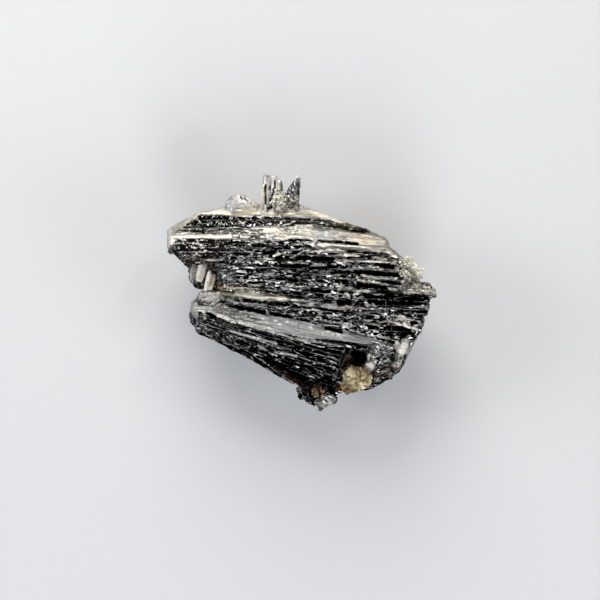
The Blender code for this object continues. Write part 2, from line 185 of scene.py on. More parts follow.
# %% [markdown]
# ## The crystal's body
#
# The solid already has the laths and ledges, but its faces are large and flat. A fine even mesh is wrapped
# around it, so that every point can be pushed in or out by the relief. Cutting the long faces up instead
# would leave thousands of slivers. The wrap rounds the corners a little, as they are on a worn crystal. The
# outer and the inner corners are noted first, because the finish paints an outer one bright, partly as wear
# and partly as a painted highlight, and an inner one as a near-black groove of painted shade.

# %% Selecting, editing, copying and wrapping
def select_only(piece):
    bpy.ops.object.select_all(action="DESELECT")
    piece.select_set(True)
    bpy.context.view_layer.objects.active = piece


def edit_all(piece, operator, **settings):
    """Runs an operator on the whole mesh of a piece."""
    select_only(piece)
    bpy.ops.object.mode_set(mode="EDIT")
    bpy.ops.mesh.select_all(action="SELECT")
    operator(**settings)
    bpy.ops.object.mode_set(mode="OBJECT")


def copy_of(node, name):
    """A merged copy of a solid, to be shaped further."""
    piece = SOLIDS[node].copy()
    piece.data = SOLIDS[node].data.copy()
    piece.name = piece.data.name = name
    piece.parent = None
    bpy.context.scene.collection.objects.link(piece)
    piece.matrix_world = Matrix.Identity(4)
    edit_all(piece, bpy.ops.mesh.remove_doubles, threshold=1e-6)
    return piece


def apply(piece, kind, **settings):
    """Adds a modifier with these settings and applies it."""
    select_only(piece)
    modifier = piece.modifiers.new(kind.lower(), kind)
    for name, value in settings.items():
        setattr(modifier, name, value)
    bpy.ops.object.modifier_apply(modifier=modifier.name)


def wrap(piece, size):
    """Wraps an even mesh of triangles of this size around a piece."""
    apply(piece, "REMESH", mode="VOXEL", voxel_size=size * MM)
    apply(piece, "TRIANGULATE")


# %% Reading and moving points
def read(piece, name):
    vertices = piece.data.vertices
    values = np.empty(len(vertices) * 3)
    vertices.foreach_get(name, values)
    return values.reshape(-1, 3)


def points_of(piece):
    """The mesh's points in millimetres."""
    return read(piece, "co") / MM


def triangles_of(piece):
    """The numbers of each triangle's three points."""
    return np.array([face.vertices[:] for face in piece.data.polygons])


def move(piece, points):
    """Moves the mesh's points to places in millimetres."""
    piece.data.vertices.foreach_set("co", (points * MM).astype(np.float32).ravel())
    piece.data.update()


# %% Corners
CORNER = radians(24)
CORNER_STEP = 0.2


def tree_of(points):
    tree = KDTree(len(points))
    for index, point in enumerate(points):
        tree.insert(point, index)
    tree.balance()
    return tree


body = copy_of("arsenopyrite_crystal", "crystal_body")
corners = {True: [], False: []}
bm = bmesh.new()
bm.from_mesh(body.data)
for edge in bm.edges:
    angle = edge.calc_face_angle_signed(0)
    if abs(angle) > CORNER:
        start, end = (vert.co / MM for vert in edge.verts)
        steps = max(1, round((end - start).length / CORNER_STEP))
        corners[angle > 0].extend(start.lerp(end, step / steps) for step in range(steps + 1))
bm.free()
outer_corners, inner_corners = tree_of(corners[True]), tree_of(corners[False])
print("points on outer and inner corners:", len(corners[True]), len(corners[False]))

# %% Wrapping the body
BODY_MESH = 0.2

wrap(body, BODY_MESH)
print("the body has", len(body.data.vertices), "points")

# %% [markdown]
# ## Bands of the striated face
#
# From the crest down the face has bands with looks of their own: a clean pale rim, a black crest, a pale
# shoulder, a speckled middle, a pale ledge, a dark strip, a smooth grey band, a black lower face and a
# black foot with little net. The pale and the black of the bands are partly painted light: pale where a
# band turns to the light, black where it faces the dark above, and the foot's black is painted shade. Each
# border between two bands is a line of a few points. A band's tone is four numbers: how pale it is, how
# deeply etched and so how black, how finely speckled, and how much silver net of painted highlights runs
# over its dark hollows.

# %% Borders and bands
BORDERS = (
    ((-24, 9.6), (-21, 11.6), (-18.2, 13.8), (-10.8, 13.5), (-1, 13.4), (4, 12.9), (7, 12.1),
     (11.4, 11.1), (16, 8.4)),
    ((-24, 9.4), (-20.4, 11.8), (-10, 11.5), (3, 12), (6, 11.6), (11.4, 10.8), (15, 9)),
    ((-24, 9.3), (-13, 9.2), (0, 9.1), (4, 8.9), (8, 7.6), (15, 6.8), (18, 5.6)),
    ((-19, 0.4), (-11, 0), (-2.5, -0.8), (2, -1.6), (5, -2.3), (9, -2.7), (23, -3.2)),
    ((-19, -0.7), (-11, -1.1), (-2.5, -1.9), (2, -2.4), (5, -2.6), (9, -2.9), (23, -3.3)),
    ((-19, -2.1), (-10, -3.2), (0, -5.1), (8, -6.9), (14, -8.5), (20, -10)),
    ((-19, -3.5), (-15, -4.2), (-10, -5.8), (0, -8.2), (8, -9.6), (14, -9.9), (20, -12)),
    ((-20, -7.2), (-17.9, -8), (-10.3, -10.6), (-1.2, -13.3), (1.5, -16.5), (4, -30), (23, -30)),
)
# A tone is (pale, etched, speckled, netted) in percent. The bands run from the rim down.
BANDS = (
    (80, 25, 30, 10), (0, 100, 10, 80), (47, 35, 60, 20), (5, 100, 90, 60), (100, 25, 30, 20),
    # The last tone in the next row is the foot's, painted near-black as shade.
    (4, 100, 90, 80), (25, 5, 20, 0), (0, 100, 10, 80), (0, 100, 0, 15),
)
BORDER_BLUR = 0.22


def rise(values, start, width):
    """0 up to start, then rising to 1 over width."""
    return np.clip((values - start) / width, 0, 1)


def mix(first, second, share):
    return first * (1 - share) + np.array(second) * share


def wander(points, seed, size):
    """Slow noise at each point, from about -1 to 1."""
    return np.array([noise.noise(Vector(point) / size + Vector((seed, 0, 0))) for point in points])


# %% Soft patches
# A patch is (x, y, half length, half width, turn in degrees), here with its tone in percent.
# Later patches lie over earlier ones.
TONE_PATCHES = (
    (-23.3, 9.4, 0.9, 2.2, 0, 55, 5, 0, 0), (-15, 10.8, 6.6, 0.7, 0, 30, 90, 100, 50),
    (-8.5, 9.6, 3.6, 0.9, 0, 30, 80, 100, 40), (3.6, 9.9, 1.6, 0.45, 0, 30, 10, 20, 0),
    (5.2, 12.3, 0.9, 0.5, -10, 0, 100, 20, 50), (9.2, 11.5, 2.5, 0.55, -14, 5, 100, 20, 50),
    (-18.5, 7.4, 4.8, 1.8, 4, 0, 100, 20, 80), (-15.1, 7, 1.4, 0.7, 0, 0, 100, 0, 0),
    (-8, 8.1, 4, 0.5, 0, 20, 90, 100, 50), (4.5, 7.7, 2.4, 0.6, -6, 60, 60, 100, 30),
    (14.9, 5.9, 2.6, 0.6, -14, 60, 50, 100, 20), (17.3, 4.7, 2.6, 1.2, -40, 45, 70, 150, 40),
    (19, 2.2, 1.4, 1, -30, 40, 80, 150, 40), (20.6, 0.5, 3.4, 0.9, -14, 60, 70, 160, 50),
    (17, -1.45, 6.8, 1.3, -3, 0, 100, 5, 30), (17.6, -4.6, 1, 0.5, -30, 80, 60, 80, 30),
    (17, -7, 3.4, 0.9, -14, 0, 100, 10, 60), (10.4, -3.8, 1.7, 0.4, -8, 35, 40, 50, 30),
    (5.5, -2.6, 2.6, 0.5, -8, 40, 40, 60, 20), (-15, -1.1, 3.8, 0.9, -4, 42, 90, 160, 60),
    (-11.6, -4, 4.4, 0.8, -16, 40, 55, 130, 30), (-19.1, -2.5, 0.8, 2.4, 10, 45, 5, 10, 0),
    (-19.4, 3.1, 0.8, 1.7, -20, 70, 10, 20, 0), (14.6, -11, 3.2, 2, -25, 25, 100, 130, 80),
    # The rows at (17.9, -9.8) and (16.8, -9) are a painted reflection: a bright facet at the right end,
    # painted pale.
    (12.9, -12.6, 0.9, 1.2, 0, 0, 100, 80, 60), (17.9, -9.8, 0.75, 1.6, -25, 120, 10, 0, 0),
    (16.8, -9, 0.4, 0.4, 0, 120, 10, 0, 0), (16.5, -13.3, 1.1, 0.9, 40, 80, 40, 70, 30),
    (19.5, -11, 0.9, 3, -20, 35, 8, 20, 0), (11.8, -13.5, 1, 1.3, -20, 100, 5, 0, 0),
    (12, -11.5, 0.45, 0.7, 0, 100, 20, 0, 0), (9.9, -11.9, 1.6, 1.5, 0, 0, 100, 0, 0),
    (10.1, -10.2, 0.7, 0.8, 0, 0, 100, 0, 5), (14.8, -15, 2.8, 1.6, 14, 0, 100, 50, 70),
    (-13.3, 2.6, 2.6, 1.2, -4, 10, 90, 100, 50), (-11.8, 0.6, 3.6, 0.6, -4, 15, 100, 100, 50),
    (-16.2, -4, 0.9, 0.35, -20, 0, 100, 0, 20), (4.2, -19.6, 2.1, 1.1, 18, 45, 80, 120, 60),
    (0.3, -18.6, 1.3, 1.9, 0, 0, 100, 30, 60), (-0.9, -17.4, 0.9, 0.6, 0, 30, 60, 60, 40),
    (4, -17, 3, 1.3, 0, 0, 100, 0, 15), (-12.4, 15.8, 1.7, 1.6, 0, 35, 10, 30, 0),
    (-9.4, 15.9, 2.4, 1.1, 0, 60, 45, 100, 30), (-5.6, 18, 2.1, 3.4, 0, 85, 35, 60, 10),
    (-1.8, 18.2, 2, 3.2, 0, 25, 80, 80, 50), (-3.1, 15.8, 2, 1.8, 0, 60, 70, 140, 30),
    (-1.8, 18.4, 0.5, 1.4, -30, 0, 90, 90, 30),
)

# %% [markdown]
# ## Gashes and bars
#
# Some features are too large and too particular for noise: the long gashes between the bars on the right,
# the black pockets of the middle, the bright edges of ledges. Each is a stroke from one point to another
# with a half width, a depth and a tone. The body is pushed in or pulled out along it, and the finish takes
# its tone. The black of the sunk gashes and pockets is painted shade, and the pale of the bars, edges and
# glints is partly painted highlight.

# %% Strokes
# The black and the dark tone are painted shade in the sunk gashes and pockets. The clean and the bright
# tone are partly painted highlights on bars, edges and glints.
GASH_SHADE = (0, 100, 0, 6)
POCKET_SHADE = (0, 100, 0, 10)
CLEAN_AND_LIT = (90, 40, 50, 10)
GREY = (50, 50, 70, 20)
BRIGHT = (100, 40, 20, 0)
DEEP, SUNK, LEVEL, PROUD = -0.55, -0.35, 0, 0.14
# Each kind of stroke is (depth, tone).
GASH, CLEFT = (SUNK, GASH_SHADE), (DEEP, GASH_SHADE)
POCKET, PIT = (SUNK, POCKET_SHADE), (DEEP, POCKET_SHADE)
BAR, RIDGE, EDGE = (PROUD, CLEAN_AND_LIT), (PROUD, GREY), (PROUD, BRIGHT)
SMEAR, GLINT, SCRATCH = (LEVEL, GREY), (LEVEL, BRIGHT), (SUNK, GREY)
# Each stroke is (x, y) of its two ends, its half width and its kind.
STROKES = (
    (6, 8.75, 9.8, 8.5, 0.28, GASH), (-2.2, 9.15, 1.6, 9.1, 0.13, GASH), (3, 9, 6.5, 8.85, 0.16, GASH),
    (3, 8.3, 16, 7.3, 0.26, BAR), (8, 7.1, 11.5, 6.6, 0.24, GASH), (11.2, 6.6, 14.8, 6.45, 0.46, CLEFT),
    (-8.6, 10.95, -7, 10.9, 0.12, GASH), (11, 5.35, 18.6, 4.95, 0.16, RIDGE),
    (10.6, 4.95, 14, 4.65, 0.2, GASH), (13.9, 4.65, 18.3, 4.15, 0.34, CLEFT),
    (9, 4.15, 18.8, 3.5, 0.22, RIDGE), (6.4, 3.45, 11, 3.45, 0.22, GASH),
    (10, 3.45, 18.8, 2.85, 0.32, CLEFT), (10.4, 2.85, 18, 1.85, 0.19, BAR),
    (14, 1.95, 17.4, 1.45, 0.22, CLEFT), (10, 2, 17.2, 0.95, 0.18, RIDGE),
    (9.2, 1.15, 12.6, 1, 0.42, CLEFT), (12.4, 0.9, 16.8, 0.55, 0.2, CLEFT),
    (8.8, 0.2, 20.4, -0.1, 0.18, BAR), (-8.6, 8.2, -7, 8.2, 0.3, POCKET),
    (-8.4, 6.95, -5.2, 6.9, 0.34, POCKET), (-0.6, 6, 1.3, 6.05, 0.38, PIT), (2.3, 5.8, 5, 5.6, 0.5, PIT),
    (-4.6, 5.7, -1, 5.55, 0.24, POCKET), (-3.8, 4.5, 0.4, 4.5, 0.36, PIT), (1, 4.5, 5.8, 4.3, 0.2, POCKET),
    (-10.4, 3.95, -6.9, 3.6, 0.22, POCKET), (-2.2, 1.95, 0.6, 1.85, 0.26, POCKET),
    (0.2, 0.2, 4.6, 0, 0.22, POCKET), (5.2, 3.3, 8.4, 3.2, 0.2, POCKET),
    (-12, 6.9, -9.6, 6.6, 0.26, POCKET), (-16.8, 5.3, -13, 5.2, 0.18, CLEFT),
    (-16.8, 5.65, -15, 5.6, 0.12, EDGE), (-3.5, 5.05, 0.5, 5, 0.1, EDGE), (-5, 6.25, -2.9, 6.9, 0.1, EDGE),
    (-2, 5.9, -0.6, 6.6, 0.1, EDGE), (-20.6, 11.55, -10.2, 11.5, 0.14, CLEFT),
    (-19.4, 10.9, -17.4, 10.85, 0.3, POCKET), (-23.3, 9.9, -12.6, 9.8, 0.27, BAR),
    (-18.7, 13.2, -17.9, 12.1, 0.09, EDGE), (-11.8, 13.4, -10.6, 12.1, 0.09, EDGE),
    (-8.4, 11.15, -4.6, 11.2, 0.16, BAR), (-11.4, -0.45, -2.6, -1.25, 0.48, EDGE),
    (-2.6, -1.45, 3, -2.2, 0.36, SMEAR), (-15, -0.15, -12.6, -0.25, 0.26, BAR),
    (-2.7, -0.95, 0.1, -1.1, 0.13, GASH), (-10.2, -1.4, -1.2, -2.5, 0.26, CLEFT),
    (-14.4, -1.65, -13.3, -1.75, 0.2, POCKET), (-12.5, -2.4, -5.8, -3.75, 0.34, CLEFT),
    (-5.2, -3.9, -2.2, -4.3, 0.26, POCKET), (-9.8, -2.15, -6.2, -2.75, 0.1, EDGE),
    (-6.3, -3.1, -5.6, -4.8, 0.13, EDGE), (-6.55, 19, -6.4, 15.6, 0.17, GASH),
    (-4.85, 19.9, -4.85, 19.2, 0.19, GASH), (-4.8, 18.7, -5.15, 18.2, 0.22, GASH),
    (-5.05, 17.8, -5.4, 17.2, 0.24, GASH), (-5.65, 18.9, -5.75, 18.3, 0.12, GASH),
    (-5.6, 16.7, -5.7, 16.3, 0.15, GASH), (-5.5, 15.2, -5.9, 14.9, 0.22, GASH),
    (-3.15, 18.6, -0.75, 20.9, 0.16, GLINT), (-1.15, 18.9, -1.25, 16.8, 0.14, GLINT),
    (-10.9, 17, -10.6, 16.6, 0.12, GASH), (-10.2, 16.8, -9.6, 16.2, 0.12, GASH),
    (-12.1, 15.3, -12.2, 16.4, 0.08, SCRATCH), (3.4, -3.2, 8.8, -3.8, 0.18, GASH),
    (2.5, -4.5, 3.5, -3.5, 0.12, EDGE), (4.2, -6.35, 7, -7.05, 0.22, GASH),
    (2.6, -5.75, 6.8, -5.85, 0.22, RIDGE), (8.4, -6.6, 10.9, -7.5, 0.2, RIDGE),
    (13.2, -8.1, 16.2, -8.9, 0.18, GASH), (13.6, -5.4, 15.1, -5, 0.13, EDGE),
    (15.1, -5, 21, -6.8, 0.2, EDGE), (-14.7, -4.35, -11.7, -5.5, 0.13, EDGE),
    (-11, -5.55, -1.2, -8.15, 0.13, EDGE), (-1.2, -8.2, 8.6, -9.65, 0.17, EDGE),
    (-12.7, -6.9, -4.5, -9.1, 0.19, EDGE), (-5.2, -9.3, -2, -10.2, 0.18, EDGE),
    (-7.8, -9.5, -6.4, -10.3, 0.2, EDGE), (-4.7, -10.7, -1, -11.3, 0.2, EDGE),
    (-17.3, -3.5, -17.1, -4.6, 0.2, EDGE),
)
FRONT = 7
STROKE_BLUR = 0.16


def stroke_weights(points):
    """How far each point is inside each stroke, from 0 to 1, one column for each stroke."""
    swell = 1 + 0.45 * wander(points, 21, 0.9)
    front = rise(points[:, 2], FRONT, 2)
    columns = []
    for x0, y0, x1, y1, half_width, _ in STROKES:
        along = np.array((x1 - x0, y1 - y0))
        from_start = points[:, :2] - (x0, y0)
        share = np.clip(from_start @ along / (along @ along), 0, 1)
        apart = np.linalg.norm(from_start - share[:, None] * along, axis=1)
        columns.append(front * np.clip((half_width * swell - apart) / STROKE_BLUR + 0.5, 0, 1))
    return np.stack(columns, axis=1)


# %% Tints
RUST = (0.17, 0.07, 0.025)
UMBER = (0.016, 0.009, 0.006)
BROWN = (0.05, 0.024, 0.012)
CREAM = (0.62, 0.5, 0.3)
IVORY_AND_HIGHLIGHT = (0.92, 0.86, 0.72)
OLIVE = (0.13, 0.12, 0.06)
TEAL = (0.1, 0.15, 0.155)
WHITE_AND_REFLECTION = (0.92, 0.9, 0.86)
TAN = (0.42, 0.32, 0.19)
BLUE = (0.28, 0.34, 0.42)
# A tint patch ends with its color and its amount.
TINT_PATCHES = (
    (-18.5, 7.6, 5, 1.9, 4, UMBER, 0.5), (-19, 5.9, 1.5, 0.8, -20, BROWN, 0.6),
    (-1.5, 12.6, 5, 0.7, 0, UMBER, 0.8), (7.5, 11.5, 3.6, 0.6, -12, OLIVE, 0.45),
    (-18.6, 11.6, 1.7, 0.6, 4, OLIVE, 0.35), (-4, 10.6, 1.8, 0.6, 0, CREAM, 0.3),
    (-3.6, 9.9, 0.8, 0.6, -20, TAN, 0.8), (11, 9.3, 2.6, 0.6, -14, CREAM, 0.6),
    (4, 9.95, 1.8, 0.5, 0, BLUE, 0.7), (-16.6, 4.4, 1, 0.9, 0, RUST, 0.9),
    # The ivory on the rim in the next row is partly a painted highlight: the rim's bright reflection is
    # painted as a pale matte tint.
    (-12.5, 14.1, 6.5, 0.5, 1, IVORY_AND_HIGHLIGHT, 0.78), (6.4, 13.2, 6.4, 0.9, -14, IVORY_AND_HIGHLIGHT, 0.78),
    (-10.2, 15.9, 3.2, 1.3, 0, WHITE_AND_REFLECTION, 0.75), (-9.8, 14.6, 3, 0.5, 0, IVORY_AND_HIGHLIGHT, 0.75),
    (-5.3, 18.2, 1.7, 3.2, 0, WHITE_AND_REFLECTION, 0.65), (-7.05, 17.2, 0.3, 2, -3, IVORY_AND_HIGHLIGHT, 0.9),
    (-1, 20.2, 0.7, 1.3, -40, WHITE_AND_REFLECTION, 0.8), (-3, 14.2, 2.4, 0.6, 0, IVORY_AND_HIGHLIGHT, 0.8),
    (-5.9, -3.9, 0.3, 1.1, 22, WHITE_AND_REFLECTION, 0.9), (-19.3, -2.7, 0.8, 2.4, 8, TEAL, 0.25),
    (-23.6, 9, 0.8, 2.6, 0, WHITE_AND_REFLECTION, 0.6), (-19.5, 3.3, 0.7, 1.5, 0, WHITE_AND_REFLECTION, 0.5),
    (-17, 2.2, 1.6, 1.7, -20, OLIVE, 0.7), (-16.4, -0.9, 2.4, 1, 0, WHITE_AND_REFLECTION, 1),
    (-13.2, -0.4, 2.2, 0.55, -3, IVORY_AND_HIGHLIGHT, 0.95), (-13.2, 2.9, 1.6, 0.9, -6, TEAL, 0.5),
    (-13.6, 1.1, 2.4, 0.7, -4, RUST, 0.7), (-10, 0.5, 3, 0.6, -4, OLIVE, 0.5),
    (-14.2, 0.2, 2.6, 0.3, -2, CREAM, 0.5), (-6.8, -0.8, 5, 0.6, -5, IVORY_AND_HIGHLIGHT, 1),
    (-5.5, -0.9, 1.2, 0.4, -8, RUST, 0.2), (1, -1.8, 3, 0.6, -12, TEAL, 0.5),
    (-4, -5.6, 7, 1, -14, TEAL, 0.4), (7.2, -17, 1.3, 1, 0, RUST, 0.9), (8.2, -13, 0.9, 1.8, 0, BROWN, 0.6),
    (14.8, -14.6, 3, 1.9, 14, BROWN, 0.42), (3, -17.1, 1.4, 0.8, 0, BROWN, 0.7),
    (18.3, 4.2, 1, 1.8, -20, IVORY_AND_HIGHLIGHT, 0.3), (-2, -15.4, 3.5, 0.7, -33, BROWN, 0.42),
    # The white in the next row is a painted reflection on a facet at the right end.
    (17.9, -9.8, 0.75, 1.6, -25, WHITE_AND_REFLECTION, 1), (16.8, -9, 0.4, 0.4, 0, WHITE_AND_REFLECTION, 0.85),
    (11.8, -11.4, 0.35, 0.55, 0, WHITE_AND_REFLECTION, 0.8), (11.8, -13.4, 0.9, 1.2, -20, WHITE_AND_REFLECTION, 0.95),
    (-11.6, -4, 4.4, 0.8, -16, TEAL, 0.3), (-3.4, 15.4, 1.8, 1.4, 0, IVORY_AND_HIGHLIGHT, 0.45),
)


def patch_weight(points, x, y, half_length, half_width, turn):
    """1 inside a turned ellipse, fading to 0 outside it."""
    c, s = np.cos(radians(turn)), np.sin(radians(turn))
    dx, dy = points[:, 0] - x, points[:, 1] - y
    reach = np.hypot((dx * c + dy * s) / half_length, (-dx * s + dy * c) / half_width)
    return rise(-reach, -1.25, 0.5)


# %% Tones and tints of any point
UP = (0, 0, 1)
# Tones of what turns to the crest light, which is painted light, of what turns away from it, which is
# painted shade, and of the sides and the back.
PAINTED_LIGHT_SIDE = (75, 35, 40, 20)
PAINTED_SHADE_SIDE = (0, 90, 10, 50)
BACK = (15, 90, 40, 60)


def toned(values, tone, share):
    """Mixes a share of a tone, which is in percent, into the values."""
    return mix(values, np.array(tone) / 100, share[:, None])


def tones(points, normals=UP):
    """The tone at each point, on every side of the crystal."""
    x, y, z = points.T
    values = np.tile(np.array(BANDS[0]) / 100, (len(points), 1))
    wavy = y + 0.35 * wander(points * (0.35, 1, 1), 3, 1.4)
    for border, band in zip(BORDERS, BANDS[1:]):
        line = np.interp(x, *np.transpose(border))
        values = toned(values, band, np.clip((line - wavy) / BORDER_BLUR + 0.5, 0, 1))
    # Faces turned to +Y, towards the crest softbox, get a paler tone and faces turned away get a darker
    # one: painted light and painted shade.
    lean = np.broadcast_to(normals, points.shape)[:, 1]
    values = toned(values, PAINTED_LIGHT_SIDE, rise(lean, 0.3, 0.25) * np.interp(x, (4, 8), (0.1, 0.55)))
    values = toned(values, PAINTED_SHADE_SIDE, 0.7 * rise(-lean, 0.35, 0.3))
    for row in TONE_PATCHES:
        values = toned(values, row[5:], patch_weight(points, *row[:5]))
    for weight, (*_, kind) in zip(stroke_weights(points).T, STROKES):
        values = toned(values, kind[1], weight)
    return mix(np.array(BACK) / 100, values, rise(z, FRONT, 2.5)[:, None])


def tints(points):
    """The color and the amount of the tint at each point."""
    values = np.tile((0.1, 0.1, 0.1, 0), (len(points), 1))
    for *patch, tint, amount in TINT_PATCHES:
        values = mix(values, (*tint, amount), patch_weight(points, *patch)[:, None])
    values[:, 3] *= rise(points[:, 2], FRONT, 2.5)
    return values


# %% [markdown]
# ## Etched flakes
#
# The dark bands are etched into flakes about a millimetre long, each a little higher, lower or
# more tilted than the next, with thin raised rims between them. Cells around scattered seed
# points make such flakes. The seed points are scattered in the fan coordinates, squeezed along
# the striations, so the flakes come out long.

# %% Flakes
def nearest(tree, places, count):
    """The numbers of the tree's points that are nearest to each place."""
    return np.array([[found[1] for found in tree.find_n(place, count)] for place in places])


def flakes(places, width, stretch, seed):
    """For each place: how far its flake's border is, three random values of the flake, and how
    far across the flake it lies."""
    scale = np.array((1 / stretch, 1, 1)) / width
    squeezed = places * scale
    low, high = squeezed.min(axis=0) - 1.5, squeezed.max(axis=0) + 1.5
    random = np.random.default_rng(seed)
    ranges = [np.arange(start, end) for start, end in zip(low, high)]
    grid = np.stack(np.meshgrid(*ranges, indexing="ij"), -1).reshape(-1, 3)
    seeds = grid + random.random(grid.shape)
    values = random.random(grid.shape)
    first, second = nearest(tree_of(seeds), squeezed, 2).T
    between = seeds[second] - seeds[first]
    across = np.linalg.norm(between, axis=1)
    middle = (seeds[second] + seeds[first]) / 2
    gap = np.einsum("ij,ij->i", middle - squeezed, between) / across * width
    return np.column_stack([gap, values[first], (squeezed - seeds[first])[:, 1] * width])


# %% The grain
LEFT_START = -12
LEFT_GROWTH = 1.1
CREST_START = 11.6
CREST_GROWTH = 1.7
BLADES_START = 15.5


def grain_places(points):
    """Fan coordinates, which run up the blades on the crest. The flakes are rounder at the
    left end and on the crest, so there u grows faster."""
    places, _ = fan(points)
    places[:, 0] += LEFT_GROWTH * np.minimum(places[:, 0] - LEFT_START, 0)
    places[places[:, 1] > CREST_START, 0] *= CREST_GROWTH
    upright = (points[:, 1] > BLADES_START) & (points[:, 0] > -8) & (points[:, 0] < 0.6)
    places[upright] = points[upright][:, [1, 0, 2]]
    return places


# %% Combing the clean bands
# They are evened out along the striations, but not across them.
COMB_STRETCH = (1 / 4, 1, 1)
COMB_POINTS = 24
COMB_STROKES = 8
COMB_REACH = 0.15

points = points_of(body)
normals = read(body, "normal")
x, y, z = points.T
worn = np.clip(1 - tones(points)[:, 1] / 0.5, 0, 1)
worn *= rise(z, FRONT, 1) * rise(-y, -14.4, 0.5) * rise(x, -17.5, 1.5)
chosen = np.nonzero(worn > 0.02)[0]
places = grain_places(points) * COMB_STRETCH
near = nearest(tree_of(places), places[chosen], COMB_POINTS)
out = normals[chosen]
alike = np.clip(np.einsum("nkj,nj->nk", normals[near], out), 0, 1)[:, :, None] ** 2
for _ in range(COMB_STROKES):
    middle = (points[near] * alike).sum(axis=1) / alike.sum(axis=1)
    shift = np.clip(((middle - points[chosen]) * out).sum(axis=1), -COMB_REACH, COMB_REACH)
    points[chosen] += out * (shift * worn[chosen])[:, None]
move(body, points)
print("combed", len(chosen), "points")

# %% Relief on the body
BIG_FLAKE, BIG_STRETCH = 1.1, 2.3
SMALL_FLAKE, SMALL_STRETCH = 0.5, 1.4
PLATEAU = 0.26
TILT = 0.45
RIM = 0.1
RIM_WIDTH = 0.16
LINES = 0.09
CORNER_REACH = 0.34
BEND = 0.3
BODY_TRIANGLES = 190_000


def closeness(points, corners):
    """1 at the corners, fading to 0 at CORNER_REACH."""
    return np.array([max(0, 1 - corners.find(point)[2] / CORNER_REACH) for point in points])


def write(piece, name, *columns):
    """Stores a table of vectors or colors, or columns that ones fill up to a color."""
    values = np.column_stack(columns)
    if len(columns) > 1:
        values = np.column_stack([values, np.ones((len(values), 4 - len(columns)))])
    kind, field = ("FLOAT_COLOR", "color") if values.shape[1] == 4 else ("FLOAT_VECTOR", "vector")
    attribute = piece.data.attributes.new(name, kind, "POINT")
    attribute.data.foreach_set(field, values.astype(np.float32).ravel())


points = points_of(body)
normals = read(body, "normal")
places = grain_places(points)
tone = tones(points, normals)
outer = closeness(points, outer_corners)
inner = closeness(points, inner_corners)
bent = places + BEND * np.stack([wander(places * (0.5, 1, 1), seed, 0.9) for seed in (31, 32, 33)], 1)
big = flakes(bent, BIG_FLAKE, BIG_STRETCH, 4)
small = flakes(bent, SMALL_FLAKE, SMALL_STRETCH, 9)
fine = tone[:, 2] > 0.5
gap, level, lean, shade, across = np.where(fine[:, None], small, big).T
lines = wander(places * (0.16, 1.6, 1.6), 11, 0.55)
height = PLATEAU * (level - 0.5) + TILT * across * lean + RIM * np.clip(1 - gap / RIM_WIDTH, 0, 1)
height = height * np.where(fine, 0.6, 1) * tone[:, 1] + LINES * lines
weights = stroke_weights(points)
height = height * (1 - 0.8 * weights.max(axis=1)) + weights @ [kind[0] for *_, kind in STROKES]
height *= (1 - 0.7 * outer) * rise(points[:, 2], 0.1, 2)
move(body, points + normals * height[:, None])
write(body, "grain", places)
write(body, "tone", tone)
write(body, "tint", tints(points))
# Outer corners are painted bright, partly as wear and partly as painted highlight. Inner corners are
# painted near-black as shade in the groove.
write(body, "corner_light_and_flake", outer, inner, shade)
print("relief from", round(height.min(), 2), "to", round(height.max(), 2), "mm")
apply(body, "DECIMATE", ratio=BODY_TRIANGLES / len(body.data.polygons))
bpy.ops.object.shade_smooth_by_angle(angle=radians(30))
print("the body has", len(body.data.polygons), "triangles")

# %% [markdown]
# ## Fine ribs
#
# Between the flakes run thin bright ribs, the edges of growth layers. They are too thin for the
# body's mesh. One rib is modelled as a tapered bar, and copies of it are laid along the
# striations, a little sunk in. One long copy, the needle, bridges a gash left of the middle.

# %% One rib
def select_where(piece, kind, chosen):
    """In edit mode, selects the chosen faces or vertices of a piece."""
    bpy.ops.mesh.select_mode(type=kind)
    bpy.ops.mesh.select_all(action="DESELECT")
    bm = bmesh.from_edit_mesh(piece.data)
    for part in bm.faces if kind == "FACE" else bm.verts:
        part.select_set(chosen(part))
    bmesh.update_edit_mesh(piece.data)


def shape_of(piece):
    """A small shape's points and triangles. The object itself is removed."""
    edit_all(piece, bpy.ops.mesh.quads_convert_to_tris)
    points, triangles = read(piece, "co"), triangles_of(piece)
    bpy.data.objects.remove(piece)
    return points, triangles


bar = started(bpy.ops.mesh.primitive_cube_add, size=1)
bpy.ops.object.mode_set(mode="EDIT")
select_where(bar, "FACE", lambda face: face.normal.z > 0.9)
bpy.ops.transform.resize(value=(0.6, 0.25, 1))
bpy.ops.object.mode_set(mode="OBJECT")
RIB = shape_of(bar)
print("a rib has", len(RIB[1]), "triangles")

# %% Places and matrices
rng = np.random.default_rng(5)
body_tree = BVHTree.FromObject(body, bpy.context.evaluated_depsgraph_get())


def spread(piece, count, weight=None):
    """Random points on a mesh with their normals, denser where weight is high."""
    points = points_of(piece)
    triangles = triangles_of(piece)
    a, b, c = (points[column] for column in triangles.T)
    across = np.cross(b - a, c - a)
    area = np.linalg.norm(across, axis=1) / 2
    normals = across / np.maximum(area * 2, 1e-12)[:, None]
    chance = area * weight((a + b + c) / 3, normals) if weight else area
    picked = rng.choice(len(triangles), size=count, p=chance / chance.sum())
    s, t = rng.random(count), rng.random(count)
    s, t = np.where(s + t > 1, 1 - s, s), np.where(s + t > 1, 1 - t, t)
    places = a[picked] + (b - a)[picked] * s[:, None] + (c - a)[picked] * t[:, None]
    return places, normals[picked]


def from_above(tree, x, y):
    """Where a plumb line at (x, y) first meets a mesh, in metres, or None."""
    return tree.ray_cast(Vector((x, y, 40)) * MM, Vector((0, 0, -1)))[0]


def unit(vector):
    return vector / np.linalg.norm(vector)


def matrix_of(x, y, z, place):
    """A matrix from its three axes, as long as the piece is along them, and its place."""
    matrix = np.eye(4)
    matrix[:3] = np.column_stack([x, y, z, place])
    return matrix


